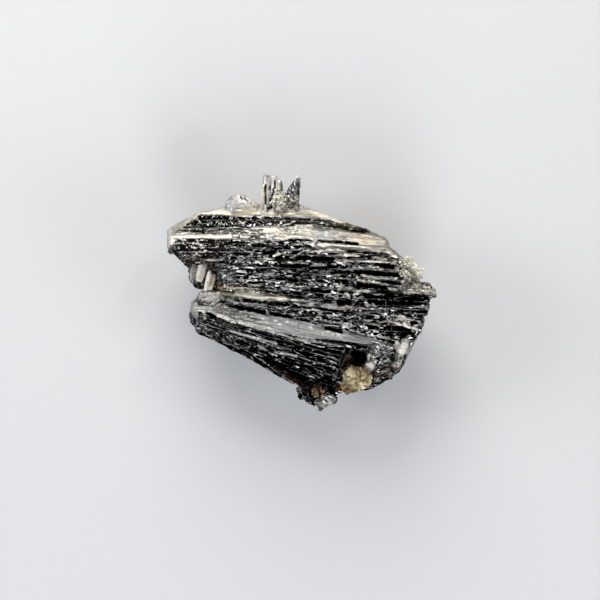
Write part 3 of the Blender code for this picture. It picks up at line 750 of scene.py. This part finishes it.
def join_copies(name, shape, matrices):
    """One mesh from many copies of a small shape. Matrices are in millimetres."""
    points, faces = shape
    solid = np.column_stack([points, np.ones(len(points))])
    placed = np.einsum("nij,pj->npi", np.array(matrices), solid)[:, :, :3].reshape(-1, 3) * MM
    triangles = faces[None] + np.arange(len(matrices))[:, None, None] * len(points)
    mesh = bpy.data.meshes.new(name)
    mesh.from_pydata(placed.tolist(), [], triangles.reshape(-1, 3).tolist())
    mesh.update()
    piece = bpy.data.objects.new(name, mesh)
    bpy.context.scene.collection.objects.link(piece)
    print(name, "copies:", len(matrices))
    return piece


# %% Laying the ribs
RIB_PLACES = 620
RIB_REACH = 0.35
RIB_TURN = 0.14
RIB_LENGTHS = (0.7, 4.5)
RIB_HEIGHTS = (0.35, 0.5)
RIB_WIDTHS = (0.12, 0.24)
RIB_PROUD = (0.05, 0.13)
SHORTEST_RIB = 0.4
FACE_START = 8.5
NEEDLE = ((-6.35, -2.9), (-5.5, -4.7))
NEEDLE_WIDTH, NEEDLE_HEIGHT = 0.3, 0.5


def rib_weight(middles, normals):
    """High where the silver net is dense, and low on the sides and the back."""
    height = middles[:, 2]
    return tones(middles, normals)[:, 3] * np.where(height > FACE_START, 1, 0.25) * (height >= 0.8)


places, normals = spread(body, RIB_PLACES, rib_weight)
start, end = (np.array(from_above(body_tree, *spot)) / MM for spot in NEEDLE)
side = unit(np.cross(UP, end - start)) * NEEDLE_WIDTH
out = unit(np.cross(end - start, side)) * NEEDLE_HEIGHT
matrices = [matrix_of(end - start, side, out, (start + end) / 2)]
for place, normal, slope in zip(places, normals, fan(places)[1]):
    upright = place[1] > 16.2 or (place[1] > 15.2 and -8 < place[0] < 0.2)
    grain = np.array((0.12, 1, 0) if upright else (1, slope, 0))
    length = np.clip(rng.lognormal(0.5, 0.5), *RIB_LENGTHS)
    grain = grain + unit(np.cross(normal, grain)) * rng.normal(0, RIB_TURN)
    tips = [place + grain * way * length / 2 for way in (-1, 1)]
    ends = [body_tree.find_nearest(Vector(tip) * MM, RIB_REACH * MM)[0] for tip in tips]
    if None in ends:
        continue
    start, end = (np.array(spot) / MM for spot in ends)
    length = np.linalg.norm(end - start)
    if length < SHORTEST_RIB:
        continue
    grain = (end - start) / length
    out = unit(normal - grain * grain.dot(normal))
    height = rng.uniform(*RIB_HEIGHTS)
    side = np.cross(out, grain) * rng.uniform(*RIB_WIDTHS)
    middle = (start + end) / 2 - out * (height / 2 - rng.uniform(*RIB_PROUD))
    matrices.append(matrix_of(grain * length, side, out * height, middle))
ribs = join_copies("surface_ribs", RIB, matrices)


def dress(piece, shape):
    """Stores what the finish reads, with one random brightness for each copy of the shape, which the finish
    lays on like a bright corner: partly wear, partly a painted highlight.
    """
    points = points_of(piece)
    bright = np.repeat(rng.uniform(0, 1, len(points) // len(shape[0])), len(shape[0]))
    write(piece, "grain", grain_places(points))
    write(piece, "tone", tones(points))
    write(piece, "tint", tints(points))
    write(piece, "corner_light_and_flake", bright, np.zeros(len(points)), bright)


dress(ribs, RIB)

# %% [markdown]
# ## The arsenopyrite finish
#
# Arsenopyrite is silver-white metal where it is clean. Its striated faces are etched into long flakes, and
# the finish paints them as dark hollows between thin bright edges: the near-black of the hollows is painted
# shade, standing in for the dark that the metal reflects, and the thin bright edges are painted highlights.
# The finish reads what was stored for each point: the fan coordinates for its patterns, the tone, the tint,
# and how near a corner is. Smaller cells give the finest edges.

# %% Helpers for finishes
def joined(kind, *values, **settings):
    """Adds a node to the tree of the first value that is another node's output."""
    sockets = [value for value in values if isinstance(value, bpy.types.NodeSocket)]
    return add(sockets[0].id_data, kind, dict(enumerate(values)), **settings).outputs[0]


def maths(operation, *values, clamp=False):
    return joined("Math", *values, operation=operation, use_clamp=clamp)


def times(first, second):
    return maths("MULTIPLY", first, second)


def plus(first, second):
    return maths("ADD", first, second)


def vectors(operation, *values):
    return joined("VectorMath", *values, operation=operation)


def blend(share, first, second):
    """A share of the second color over the first."""
    inputs = {0: share, 6: first, 7: second}
    return add(share.id_data, "Mix", inputs, data_type="RGBA").outputs[2]


def fade(value, low, high, start=0, end=1):
    """Maps value from low..high to start..end, smoothly."""
    return joined("MapRange", value, low, high, start, end, interpolation_type="SMOOTHSTEP")


def clouds(place, stretch, detail, **inputs):
    """Noise from 0 to 1 at a stretched place."""
    stretched = vectors("MULTIPLY", place, stretch)
    inputs = {"Vector": stretched, "Scale": 1, "Detail": detail, **inputs}
    return add(place.id_data, "TexNoise", inputs).outputs["Fac"]


def stored(tree, name):
    """The three amounts that are stored in an attribute, and its alpha."""
    node = add(tree, "Attribute", attribute_name=name)
    parts = add(tree, "SeparateColor", {"Color": node.outputs["Color"]})
    return [*parts.outputs, node.outputs["Alpha"]]


# %% Arsenopyrite
# The two near-black colors are painted shade: the metal is painted almost black where it would reflect the
# dark above. SILVER laid over them as lines and specks is painted highlight.
PAINTED_SHADE_BLACK = (0.0006, 0.0006, 0.0007, 1)
PAINTED_SHADE_DARK = (0.003, 0.003, 0.0033, 1)
SILVER = (0.84, 0.83, 0.8, 1)
PALE_SILVER = (0.62, 0.585, 0.53, 1)
WORN_SILVER = (0.36, 0.34, 0.305, 1)
DULL_SILVER = (0.27, 0.27, 0.265, 1)
SATIN = (0.46, 0.48, 0.475, 1)
DARK_SATIN = (0.3, 0.315, 0.32, 1)
GRAZING = (0.3, 0.3, 0.3, 1)
HALF = (0.5, 0.5, 0.5)


def painted_highlight_lines(tree, grain, place, netted):
    """Painted highlights as thin bright lines: wavy ones along the striations, and a net of cells between
    them.
    """
    _, v, z = add(tree, "SeparateXYZ", {"Vector": grain}).outputs
    wave = clouds(grain, (0.3, 0.8, 0.8), 2)
    level = times(plus(v, times(z, 0.3)), 0.95)
    apart = maths("PINGPONG", plus(level, times(wave, 3.8)), 0.5)
    breaks = clouds(grain, (0.35, 1.2, 1.2), 2, Scale=1.1)
    sparse = times(maths("SUBTRACT", 1, netted), 0.25)
    waves = fade(maths("SUBTRACT", breaks, sparse), 0.46, 0.5)
    waves = times(fade(apart, 0.07, 0.12, 1, 0), waves)
    borders = add(tree, "TexVoronoi", {"Vector": place, "Scale": 0.9}, feature="DISTANCE_TO_EDGE")
    cells = fade(plus(breaks, sparse), 0.5, 0.46)
    cells = times(fade(borders.outputs["Distance"], 0.04, 0.08, 1, 0), cells)
    return times(maths("MAXIMUM", waves, cells), fade(netted, 0, 0.1))


def arsenopyrite():
    made, tree, shader = new_finish("etched_arsenopyrite")
    grain = add(tree, "Attribute", attribute_name="grain").outputs["Vector"]
    pale, etched, speckled, netted = stored(tree, "tone")
    outer, inner, flake, _ = stored(tree, "corner_light_and_flake")
    tint = add(tree, "Attribute", attribute_name="tint").outputs["Color"]
    _, tint_green, _, tinted = stored(tree, "tint")

    # Patterns
    stretched = vectors("MULTIPLY", grain, (0.45, 1, 1))
    wobble = add(tree, "TexNoise", {"Vector": stretched, "Scale": 1.3, "Detail": 3})
    wobble = vectors("SUBTRACT", wobble.outputs["Color"], HALF)
    place = vectors("MULTIPLY_ADD", wobble, (0.9, 0.9, 0.9), stretched)
    painted_highlight = painted_highlight_lines(tree, grain, place, netted)
    speck_place = vectors("MULTIPLY", place, (1.3, 1, 1))
    specks = add(tree, "TexVoronoi", {"Vector": speck_place, "Scale": 3.1}).outputs
    lean = vectors("SUBTRACT", specks["Color"], HALF)
    from_seed = vectors("SUBTRACT", speck_place, specks["Position"])
    facet = add(tree, "VectorMath", {0: from_seed, 1: lean}, operation="DOT_PRODUCT")
    speck_tone = add(tree, "SeparateColor", {"Color": specks["Color"]}).outputs[1]
    rows = clouds(grain, (0.22, 1.1, 1.1), 2)
    lines = clouds(grain, (0.2, 3.4, 3.4), 5, Roughness=0.65)

    # Etched metal: near-black hollows, which are painted shade, dull and bright specks and the net, which
    # are painted glints and highlights, and outer corners brightened partly as wear and partly as painted
    # highlight
    dark = blend(fade(flake, 0.7, 1), PAINTED_SHADE_BLACK, PAINTED_SHADE_DARK)
    dark = blend(times(tinted, fade(tint_green, 0.3, 0.6, 0.8, 0.1)), dark, tint)
    chance = plus(plus(speck_tone, times(rows, -0.9)), times(speckled, 0.4))
    some = fade(speckled, 0, 0.15)
    dark = blend(times(fade(chance, 0.54, 0.6), some), dark, DULL_SILVER)
    painted_highlight = maths("MAXIMUM", painted_highlight, times(fade(chance, 0.84, 0.9), some))
    painted_highlight = maths("MAXIMUM", painted_highlight, fade(outer, 0.6, 0.95, 0, 0.8))
    dark = blend(painted_highlight, dark, SILVER)

    # Smooth grey metal with a few bright specks, which are painted glints, and pale metal in streaks,
    # partly clean metal and partly painted light where the pale bands turn to the light
    satin = blend(fade(lines, 0.3, 0.7), DARK_SATIN, SATIN)
    satin = blend(fade(speck_tone, 0.92, 0.96), satin, SILVER)
    metal = blend(fade(etched, 0.15, 0.6), satin, dark)
    streak = fade(plus(lines, times(pale, 0.26)), 0.5, 0.62)
    clean_and_lit = blend(fade(lines, 0.36, 0.62), WORN_SILVER, PALE_SILVER)
    clean_and_lit = blend(times(tinted, fade(lines, 0.34, 0.52, 0.45, 0.95)), clean_and_lit, tint)
    metal = blend(times(fade(pale, 0.1, 0.7), streak), metal, clean_and_lit)
    # Inner corners are painted near-black: painted shade in the grooves.
    painted_crease_shade = times(fade(inner, 0.25, 0.9, 0, 0.85), fade(etched, 0.3, 0.7))
    metal = blend(painted_crease_shade, metal, PAINTED_SHADE_BLACK)

    # Dullness, roughness and the finest relief
    dull = fade(tinted, 0.45, 1, 0, 0.8)
    rough = plus(fade(lines, 0.3, 0.7, 0.28, 0.44), fade(etched, 0, 0.6, 0.2, 0))
    rough = maths("ADD", rough, times(dull, 0.3), clamp=True)
    step = plus(times(facet.outputs["Value"], times(speckled, 7)), times(painted_highlight, 0.5))
    height = plus(times(step, etched), times(lines, 0.6))
    bump = add(tree, "Bump", {"Height": height, "Distance": 0.11 * MM})
    plug(shader, {
        "Base Color": metal,
        "Metallic": maths("SUBTRACT", 1, dull),
        "Roughness": rough,
        "Normal": bump.outputs["Normal"],
        "Specular Tint": GRAZING,
    })
    return made


ARSENOPYRITE = arsenopyrite()

# %% [markdown]
# ## Grains and plates
#
# The other minerals are heaps of small crystals. Siderite grows as little rhombs, and mica as
# thin six-sided plates. One rhomb, one crumb and one plate are modelled, and copies of them are
# strewn over a core that keeps the solid's shape, a little sunk into it.

# %% One rhomb, one crumb and one plate
GRAIN_BEVEL = 0.12
PLATE_BEVEL = 0.03
SQUASH = 0.78
LUMPY = 0.5


def bevel_all(piece, width):
    edit_all(piece, bpy.ops.mesh.bevel, offset=width)


cube = started(bpy.ops.mesh.primitive_cube_add, size=1)
bevel_all(cube, GRAIN_BEVEL)
points, faces = shape_of(cube)
diagonal = np.ones(3) / np.sqrt(3)
RHOMB = (points + (SQUASH - 1) * np.outer(points @ diagonal, diagonal), faces)

points, faces = shape_of(started(bpy.ops.mesh.primitive_ico_sphere_add, subdivisions=2, radius=0.5))
CRUMB = (points * (1 + LUMPY * wander(points, 2, 0.45)[:, None]), faces)

disc = started(bpy.ops.mesh.primitive_cylinder_add, vertices=6, radius=0.5, depth=0.14)
bevel_all(disc, PLATE_BEVEL)
PLATE = shape_of(disc)
print("triangles of a rhomb, a crumb, a plate:", [len(faces) for _, faces in (RHOMB, CRUMB, PLATE)])

# %% Heaping them on a core
CORE_MESH = 0.3


def strewn(name, shape, places, normals, sizes, lean):
    """Copies of a shape at places. They lie flat with a lean of 0 and every way with 1."""
    matrices = []
    for place, normal in zip(places, normals):
        upright = Vector(normal).to_track_quat("Z", "Y")
        turned = Quaternion(rng.normal(size=4)).normalized()
        turn = upright @ Quaternion((0, 0, 1), rng.uniform(0, 6.3))
        turn = turn.slerp(turned, lean * rng.uniform(0.5, 1))
        axes = np.array(turn.to_matrix()) * rng.uniform(*sizes) * rng.uniform(0.85, 1.15, 3)
        matrices.append(matrix_of(*axes.T, place))
    piece = join_copies(name, shape, matrices)
    write_hue(piece, np.repeat(rng.random(len(matrices)), len(shape[0])))
    return piece


def write_hue(piece, random):
    """Stores a random number and the amount of stain for each point."""
    points = points_of(piece)
    stain = np.zeros(len(points))
    for *patch, strength in STAINS:
        stain = np.maximum(stain, strength * patch_weight(points, *patch))
    write(piece, "hue", random, stain)


# A stain is (x, y, half length, half width, turn in degrees, strength).
STAINS = (
    (7.9, -17.3, 2, 1, -20, 1), (7.2, -14.8, 0.8, 2.2, 0, 0.6), (11.4, -14.4, 0.8, 1.2, 0, 0.5),
    (2.9, -17.9, 1.4, 1, 0, 1), (8.2, -13.6, 1.4, 0.9, 0, 0.35), (-17.9, 2.2, 1.6, 0.9, 70, 0.25),
    (-16.4, 0.7, 1.2, 0.7, 70, 0.25), (-15.9, 2.2, 0.25, 1.4, -18, 0.9),
)


def heap(node, name, sink, kinds):
    """Strews kinds of grain over a core that is sunk into the solid, and joins them."""
    core = copy_of(node, name)
    wrap(core, CORE_MESH)
    points = points_of(core) - sink * read(core, "normal")
    move(core, points)
    write_hue(core, np.full(len(points), 0.3))
    select_only(core)
    for shape, count, sizes, lean in kinds:
        grains = strewn(name, shape, *spread(core, count), sizes, lean)
        grains.select_set(True)
    bpy.ops.object.join()
    return core


# %% [markdown]
# ## Crumbs of arsenopyrite
#
# Between the upright blades on the crest lies a small heap of broken metal crumbs. More of them
# roughen the shelf at the right end and the block in the left notch. They are the rhombs again,
# sprinkled on the body where a few soft patches say.

# %% The metal crumbs
def sprinkle(name, shape, count, sizes, lowest, *patches):
    """Crumbs on the body where its normal's z is above lowest. A patch ends with its weight."""

    def weight(middles, normals):
        amount = sum(amount * patch_weight(middles, *patch) for *patch, amount in patches)
        return amount * (normals[:, 2] > lowest) + 1e-9

    return strewn(name, shape, *spread(body, count, weight), sizes, 1)


CREST = (-2.1, 15.9, 1.3, 1.8, 0, 1)
SHELF = (21.4, 0.5, 2.2, 0.8, -25, 1)
NOTCH = (-15.9, -1, 2.2, 0.8, -4, 1.6)
metal_crumbs = sprinkle("metal_crumbs", RHOMB, 360, (0.3, 0.65), 0, CREST, SHELF, NOTCH)
dress(metal_crumbs, RHOMB)

# %% [markdown]
# ## Siderite
#
# The lump in the lower right pocket is a crust of cream-yellow rhombs, browner along its lower
# left, where it has begun to rust. A few of the same rhombs sit above the bottom cluster.

# %% The siderite lump and its crumbs
siderite = heap("siderite_lump", "siderite_rhombs", 0.3, (
    (RHOMB, 420, (0.42, 0.75), 1),
    (CRUMB, 90, (0.3, 0.55), 1),
))
CLUSTER = (2.9, -17.9, 1, 0.65, 0, 1)
siderite_crumbs = sprinkle("siderite_crumbs", RHOMB, 16, (0.35, 0.6), 0.2, CLUSTER)

# %% [markdown]
# ## A bright flake
#
# Over the upper right of the siderite leans a clean splinter of the metal with a smooth face
# beside it. Both are the rhomb again, stretched long and flat, and set on whatever lies below.

# %% The bright flake
FLAKE_THICKNESS, FLAKE_LIFT = 0.8, 0.3
# A flake is (x, y, length, width, turn in degrees, lean in degrees).
FLAKES = ((11.9, -13.7, 2.5, 0.65, 62, 10), (11.2, -13.3, 1.5, 1.1, 40, -14))
lump_tree = BVHTree.FromObject(siderite, bpy.context.evaluated_depsgraph_get())


def flake_matrix(x, y, length, width, turn, lean):
    """A flat stretched copy, a little above the highest mesh below it."""
    spots = [from_above(tree, x, y) for tree in (body_tree, lump_tree)]
    top = max(spot.z for spot in spots if spot) / MM
    turned = Matrix.Rotation(radians(turn), 4, "Z") @ Matrix.Rotation(radians(lean), 4, "X")
    stretched = Matrix.Diagonal((length, width, FLAKE_THICKNESS, 1))
    return np.array(Matrix.Translation((x, y, top + FLAKE_LIFT)) @ turned @ stretched)


bright_flake = join_copies("bright_flake", RHOMB, [flake_matrix(*row) for row in FLAKES])
dress(bright_flake, RHOMB)

# %% [markdown]
# ## Mica
#
# On the stepped right end sits a crust of cream-white crumbs with a few thin plates. It thins
# out into a fringe of single crumbs. At the foot of the upright blades is a small greenish tuft,
# mostly plates on edge, with loose crumbs beside it.

# %% The mica crust and the tuft
mica_crust = heap("mica_crust", "mica_crust_crumbs", 0.35, (
    (CRUMB, 120, (0.4, 0.85), 1),
    (PLATE, 90, (0.5, 0.9), 0.6),
))
mica_tuft = heap("mica_tuft", "mica_tuft_plates", 0.3, (
    (CRUMB, 60, (0.3, 0.6), 1),
    (PLATE, 130, (0.5, 0.95), 0.8),
))
TUFT = (-4.1, 16, 1, 2.1, 0, 1)
FRINGE = (18.3, 3.7, 2.7, 1.1, -45, 1)
tuft_crumbs = sprinkle("tuft_crumbs", CRUMB, 90, (0.25, 0.6), 0.1, TUFT)
mica_fringe = sprinkle("mica_fringe", CRUMB, 150, (0.25, 0.6), 0.1, FRINGE)

# %% [markdown]
# ## Quartz blades
#
# Two pairs of slim cream blades lean in the left notch. A blade is a flattened six-sided prism
# with a slanting tip, so it starts as a six-sided cylinder whose top is drawn in to one side.

# %% One quartz blade
blade = started(bpy.ops.mesh.primitive_cylinder_add, vertices=6, radius=0.5, depth=1)
bpy.ops.object.mode_set(mode="EDIT")
for height, slant in ((0.32, (0.25, 0, 1)), (-0.1, (0, 0.1, 1))):
    bpy.ops.mesh.select_all(action="SELECT")
    bpy.ops.mesh.bisect(plane_co=(0, 0, height), plane_no=slant)
select_where(blade, "VERT", lambda vertex: vertex.co.z > 0.45)
bpy.ops.transform.resize(value=(0.25, 0.4, 1))
bpy.ops.transform.translate(value=(0.12, 0, 0))
bpy.ops.object.mode_set(mode="OBJECT")
bevel_all(blade, 0.04)
QUARTZ_BLADE = shape_of(blade)
print("a quartz blade has", len(QUARTZ_BLADE[1]), "triangles")

# %% Placing the blades
BLADE_MESH = 0.09
BLADE_RELIEF = 0.09
# A blade is (foot, tip, width, thickness).
QUARTZ_BLADES = {
    "quartz_blade_upper": (
        ((-18.25, 1.9, 14.25), (-17.5, 5.4, 14.7), 1.5, 1.2),
        ((-17.55, 2.6, 14.3), (-16.95, 5.2, 14.5), 0.6, 0.9),
    ),
    "quartz_blade_lower": (
        ((-17, 0.3, 14.55), (-16.2, 3.8, 15), 0.95, 1),
        ((-16.25, 0.35, 14.45), (-15.5, 3.2, 14.85), 0.85, 0.9),
    ),
}


def quartz(node, name):
    matrices = []
    for foot, tip, width, thickness in QUARTZ_BLADES[node]:
        axis = Vector(tip) - Vector(foot)
        side = axis.cross(Vector((0, 0, 1))).normalized()
        out = np.array(side.cross(axis.normalized())) * -thickness
        matrices.append(matrix_of(np.array(side) * width, out, axis, np.add(foot, tip) / 2))
    piece = join_copies(name, QUARTZ_BLADE, matrices)
    edit_all(piece, bpy.ops.mesh.normals_make_consistent)
    wrap(piece, BLADE_MESH)
    points = points_of(piece)
    rough = BLADE_RELIEF * wander(points * (1.5, 0.5, 1), 6, 0.5)[:, None] * read(piece, "normal")
    move(piece, points + rough)
    write_hue(piece, 0.6 + 0.4 * wander(points, 8, 0.7))
    return piece


quartz_upper = quartz("quartz_blade_upper", "quartz_pair_upper")
quartz_lower = quartz("quartz_blade_lower", "quartz_pair_lower")

# %% [markdown]
# ## Finishes of the other minerals
#
# Each grain has its own shade, which was stored with it, and some places are stained by iron.
# A fine noise in object coordinates breaks up the color inside a grain.

# %% Finishes
def mineral(name, dark, light, stain, grain_size, roughness):
    made, tree, shader = new_finish(name)
    random, stained, _, _ = stored(tree, "hue")
    place = add(tree, "TexCoord").outputs["Object"]
    cloud = add(tree, "TexNoise", {"Vector": place, "Scale": 1 / (grain_size * MM), "Detail": 4})
    cloud = cloud.outputs["Fac"]
    shade = plus(times(cloud, 0.7), times(random, 0.5))
    color = blend(fade(shade, 0.35, 0.8), dark, light)
    amount = times(stained, fade(cloud, 0.35, 0.55, 0.6, 1))
    bump = add(tree, "Bump", {"Height": cloud, "Distance": 0.08 * MM})
    plug(shader, {
        "Base Color": blend(amount, color, stain),
        "Roughness": fade(cloud, 0.3, 0.7, roughness - 0.1, roughness + 0.1),
        "Normal": bump.outputs["Normal"],
    })
    return made


SIDERITE = mineral(
    "granular_siderite", (0.17, 0.13, 0.05, 1), (0.8, 0.71, 0.46, 1), (0.15, 0.08, 0.03, 1), 0.5, 0.6
)
QUARTZ = mineral(
    "waxy_quartz", (0.6, 0.55, 0.42, 1), (0.94, 0.92, 0.85, 1), (0.3, 0.16, 0.06, 1), 0.7, 0.3
)
CREAM_MICA = mineral(
    "cream_mica", (0.48, 0.45, 0.34, 1), (0.88, 0.86, 0.79, 1), (0.45, 0.3, 0.14, 1), 0.6, 0.4
)
GREEN_MICA = mineral(
    "greenish_mica", (0.2, 0.2, 0.13, 1), (0.88, 0.86, 0.76, 1), (0.45, 0.3, 0.14, 1), 0.6, 0.4
)

# %% What each piece is made of
# Each finish has its slot, and its pieces with the solids that they stand for.
FINISHES = (
    (ARSENOPYRITE, "arsenopyrite", {
        body: "arsenopyrite_crystal", ribs: None, metal_crumbs: None, bright_flake: None,
    }),
    (SIDERITE, "siderite", {siderite: "siderite_lump", siderite_crumbs: None}),
    (QUARTZ, "quartz", {quartz_upper: "quartz_blade_upper", quartz_lower: "quartz_blade_lower"}),
    (CREAM_MICA, "mica", {mica_crust: "mica_crust", mica_fringe: None}),
    (GREEN_MICA, "mica", {mica_tuft: "mica_tuft", tuft_crumbs: None}),
)
for finish, slot, pieces in FINISHES:
    for piece, node in pieces.items():
        piece.data.materials.clear()
        piece.data.materials.append(finish)
        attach(piece, "root")
        if node:
            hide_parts(node)
        print(piece.name, "has", len(piece.data.polygons), "triangles")
